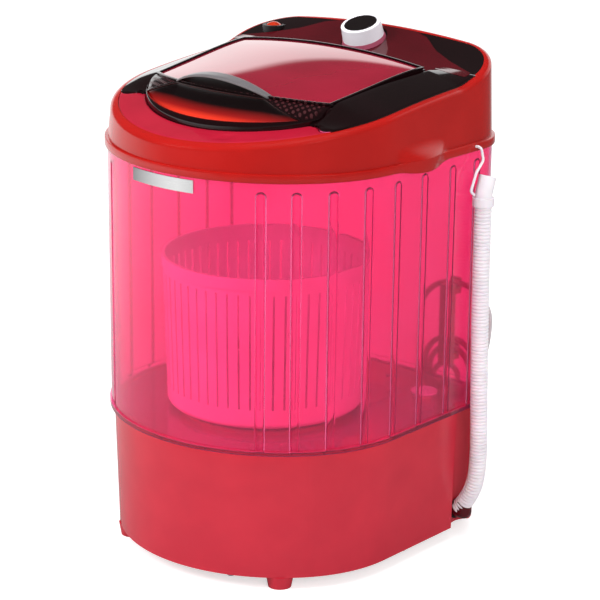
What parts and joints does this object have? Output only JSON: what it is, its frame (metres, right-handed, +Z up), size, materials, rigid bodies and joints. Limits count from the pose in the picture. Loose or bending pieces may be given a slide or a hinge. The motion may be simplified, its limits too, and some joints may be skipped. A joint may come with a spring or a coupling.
{
  "type": "semi-automatic washing machine",
  "caption": "Small translucent top-loading washer with lift-out spin basket, hinged crowned lid, timer knob and ribbed drain hose hooked on its side.",
  "frame": {"origin": "on the floor under the middle of the casing's bounding box", "axes": "+Z up, -Y towards the front of the machine (round side, badge), +X towards its right side (hose)"},
  "size_m": [0.3931, 0.3929, 0.5617],
  "materials": {
    "red_shell": "polished opaque red",
    "red_base": "polished opaque red",
    "tub_pink": "translucent pink",
    "basket_pink": "translucent pink",
    "smoke": "smoked, high gloss",
    "dark_red": "dark red, high gloss",
    "white": "white",
    "hose_white": "white, ribbed",
    "black": "black",
    "orange": "orange red",
    "silver": "bright",
    "steel": "plain",
    "motor_paint": "black paint",
    "aluminium": "cast",
    "rubber": "soft",
    "grey_lead": "grey",
    "brass": "plain"
  },
  "bodies": {
    "casing": {"base_housing": "red_base", "bottom_cover": "red_base", "feet": "red_base", "cover_screws": "steel", "tub": "tub_pink", "badge_plate": "silver", "collar": "red_shell", "collar_seal": "rubber", "deck": "smoke", "front_sill": "dark_red", "control_panel": "dark_red", "hinge_pins": "steel", "timer": "black", "inlet_socket": "black", "motor_bracket": "steel", "motor": "motor_paint", "motor_bolts": "steel", "drive_belt": "rubber", "bearing_housing": "aluminium", "housing_screws": "steel", "upper_bearing": "steel", "lower_bearing": "steel", "shaft_seal": "rubber", "capacitor": "silver", "capacitor_clamp": "steel", "drain_strainer": "white", "drain_pipe": "rubber", "drain_gland": "black", "drain_hose": "hose_white", "hose_nozzle": "hose_white", "cord_relief": "grey_lead", "power_cord": "grey_lead", "cord_hank": "grey_lead", "cord_cleat": "red_shell", "power_plug": "grey_lead", "plug_pins": "brass"},
    "lid": {"lid_frame": "smoke", "lid_window": "dark_red", "lid_scoop": "dark_red", "lid_handle": "silver"},
    "knob": {"timer_shaft": "steel", "timer_knob": "white", "knob_cap": "dark_red", "knob_skirt": "tub_pink"},
    "impeller": {"drive_shaft": "steel", "driven_pulley": "aluminium", "pulley_nut": "steel", "pulsator": "white", "pulsator_screw": "steel"},
    "basket": {"spin_basket": "basket_pink", "basket_hub": "basket_pink"},
    "rotor": {"motor_shaft": "steel", "motor_pulley": "aluminium"},
    "hook": {"hose_hook": "hose_white"},
    "inlet_plug": {"inlet_cap": "orange"}
  },
  "joints": [
    {"name": "lid_hinge", "type": "hinge", "parent": "casing", "child": "lid", "pos_m": [0, 0.08165, 0.5215], "axis": [-1, 0, 0], "range_deg": [0, 95]},
    {"name": "knob_turn", "type": "hinge", "parent": "casing", "child": "knob", "pos_m": [0, 0.13175, 0.539], "axis": [0, 0.3338, -0.9426], "range_deg": [0, 330]},
    {"name": "impeller_spin", "type": "hinge", "parent": "casing", "child": "impeller", "pos_m": [0, -0.02935, 0.15], "axis": [0, 0, 1], "continuous": true},
    {"name": "basket_lift", "type": "slide", "parent": "impeller", "child": "basket", "axis": [0, 0, 1], "range_m": [0, 0.14]},
    {"name": "motor_spin", "type": "hinge", "parent": "casing", "child": "rotor", "pos_m": [0, 0.08665, 0.078], "axis": [0, 0, 1], "continuous": true},
    {"name": "hook_swing", "type": "hinge", "parent": "casing", "child": "hook", "pos_m": [0.1875, 0.09865, 0.449], "axis": [-1, 0, 0], "range_deg": [0, 50]},
    {"name": "inlet_lift", "type": "slide", "parent": "casing", "child": "inlet_plug", "axis": [0, 0, 1], "range_m": [0, 0.03]}
  ],
  "couplings": [
    {"joint": "motor_spin", "follows": "impeller_spin", "ratio": 5.174}
  ]
}
